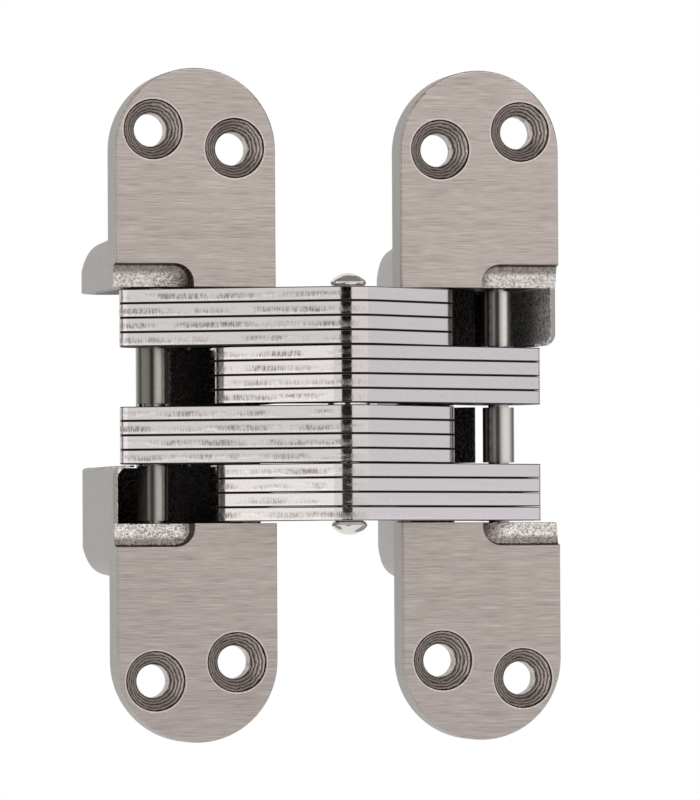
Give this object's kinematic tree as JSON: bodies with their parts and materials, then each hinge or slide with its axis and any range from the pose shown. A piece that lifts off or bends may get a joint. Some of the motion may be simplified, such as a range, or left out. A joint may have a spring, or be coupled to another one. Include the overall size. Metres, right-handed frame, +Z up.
{
  "type": "concealed door hinge",
  "caption": "Concealed hinge for a thick door: round-ended leaves with deep cups, joined by crossed stacks of link plates on pins, shown fully open with the leaf faces in one plane.",
  "frame": {"origin": "half way between the two leaves, in the plane of their faces and at half height, with the hinge fully open", "axes": "+X from the left leaf to the right leaf, +Y into the door and frame, +Z up along the pins"},
  "size_m": [0.0796, 0.0559, 0.1174],
  "materials": {
    "satin_nickel_casting": "die-cast zinc, satin nickel plated; plate faces brushed across the leaf",
    "plated_link_steel": "stamped steel, nickel plated, satin on the flats",
    "polished_steel": "ground and polished steel"
  },
  "bodies": {
    "leaf_left": {"leaf_left": "satin_nickel_casting", "fixed_pin_left": "polished_steel"},
    "link_b": {"link_b_row2_plate1": "plated_link_steel", "link_b_row2_plate2": "plated_link_steel", "link_b_row2_plate3": "plated_link_steel", "link_b_row2_plate4": "plated_link_steel", "link_b_row4_plate1": "plated_link_steel", "link_b_row4_plate2": "plated_link_steel", "link_b_row4_plate3": "plated_link_steel", "link_b_row4_plate4": "plated_link_steel", "slide_pin_right": "polished_steel", "sleeve_right_row1": "polished_steel", "sleeve_right_row3": "polished_steel", "centre_rivet": "polished_steel", "centre_washer": "polished_steel"},
    "link_a": {"link_a_row1_plate1": "plated_link_steel", "link_a_row1_plate2": "plated_link_steel", "link_a_row1_plate3": "plated_link_steel", "link_a_row1_plate4": "plated_link_steel", "link_a_row3_plate1": "plated_link_steel", "link_a_row3_plate2": "plated_link_steel", "link_a_row3_plate3": "plated_link_steel", "link_a_row3_plate4": "plated_link_steel", "slide_pin_left": "polished_steel", "sleeve_left_row2": "polished_steel", "sleeve_left_row4": "polished_steel"},
    "leaf_right": {"leaf_right": "satin_nickel_casting", "fixed_pin_right": "polished_steel"}
  },
  "joints": [
    {"name": "left_pivot", "type": "hinge", "parent": "leaf_left", "child": "link_b", "pos_m": [-0.0144, 0.008, 0], "axis": [0, 0, -1], "range_deg": [0, 105]},
    {"name": "centre_pivot", "type": "hinge", "parent": "link_b", "child": "link_a", "pos_m": [0, -0.0074, 0], "axis": [0, 0, -1], "range_deg": [-30, 0]},
    {"name": "right_pivot", "type": "hinge", "parent": "link_a", "child": "leaf_right", "pos_m": [0.0144, 0.008, 0], "axis": [0, 0, -1], "range_deg": [0, 105]}
  ],
  "couplings": [
    {"joint": "centre_pivot", "follows": "left_pivot", "ratio": -0.28571},
    {"joint": "right_pivot", "follows": "left_pivot", "ratio": 1}
  ]
}
